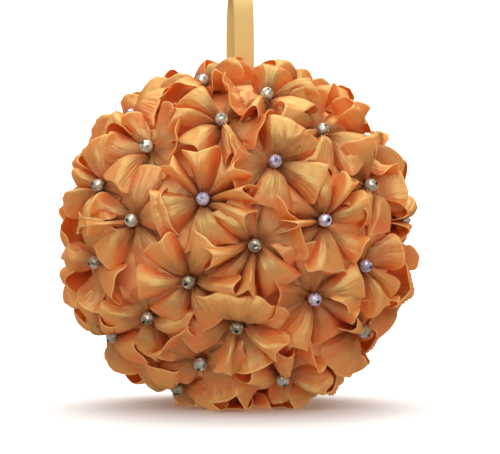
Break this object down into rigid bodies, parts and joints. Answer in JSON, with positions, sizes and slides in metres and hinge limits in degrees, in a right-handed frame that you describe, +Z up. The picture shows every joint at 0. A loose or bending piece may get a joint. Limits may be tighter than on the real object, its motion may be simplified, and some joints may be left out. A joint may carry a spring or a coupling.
{
  "type": "ribbon flower ball",
  "caption": "Hanging ball covered all round in gathered satin ribbon flowers, each pinned with a faceted crystal bead, with a short ribbon loop on top.",
  "frame": {"origin": "middle of the flat spot that the ball rests on, under the centre of the ball's box, at floor height", "axes": "+Z up along the hanging loop, -Y towards the front, +X to the viewer's right"},
  "size_m": [0.1746, 0.1734, 0.2113],
  "materials": {
    "petal_satin": "glossy golden orange satin ribbon",
    "loop_satin": "glossy pale gold satin ribbon",
    "core_satin": "foam ball wrapped in crumpled satin, in the shade of the petals' folds",
    "bead_crystal": "clear cut crystal with a thin rainbow coating"
  },
  "bodies": {
    "root": {"core": "core_satin", "flower_01": "petal_satin", "flower_02": "petal_satin", "flower_03": "petal_satin", "flower_04": "petal_satin", "flower_05": "petal_satin", "flower_06": "petal_satin", "flower_07": "petal_satin", "flower_08": "petal_satin", "flower_09": "petal_satin", "flower_10": "petal_satin", "flower_11": "petal_satin", "flower_12": "petal_satin", "flower_13": "petal_satin", "flower_14": "petal_satin", "flower_15": "petal_satin", "flower_16": "petal_satin", "flower_17": "petal_satin", "flower_18": "petal_satin", "flower_19": "petal_satin", "flower_20": "petal_satin", "flower_21": "petal_satin", "flower_22": "petal_satin", "flower_23": "petal_satin", "flower_24": "petal_satin", "flower_25": "petal_satin", "flower_26": "petal_satin", "flower_27": "petal_satin", "flower_28": "petal_satin", "flower_29": "petal_satin", "flower_30": "petal_satin", "flower_31": "petal_satin", "flower_32": "petal_satin", "flower_33": "petal_satin", "flower_34": "petal_satin", "flower_35": "petal_satin", "flower_36": "petal_satin", "flower_37": "petal_satin", "flower_38": "petal_satin", "flower_39": "petal_satin", "flower_40": "petal_satin", "flower_41": "petal_satin", "flower_42": "petal_satin", "flower_43": "petal_satin", "flower_44": "petal_satin", "flower_45": "petal_satin", "flower_46": "petal_satin", "flower_47": "petal_satin", "flower_48": "petal_satin", "flower_49": "petal_satin", "flower_50": "petal_satin", "flower_51": "petal_satin", "flower_52": "petal_satin", "flower_53": "petal_satin", "flower_54": "petal_satin", "flower_55": "petal_satin", "flower_56": "petal_satin", "flower_57": "petal_satin", "flower_58": "petal_satin", "hanging_loop": "loop_satin"}
  },
  "joints": []
}
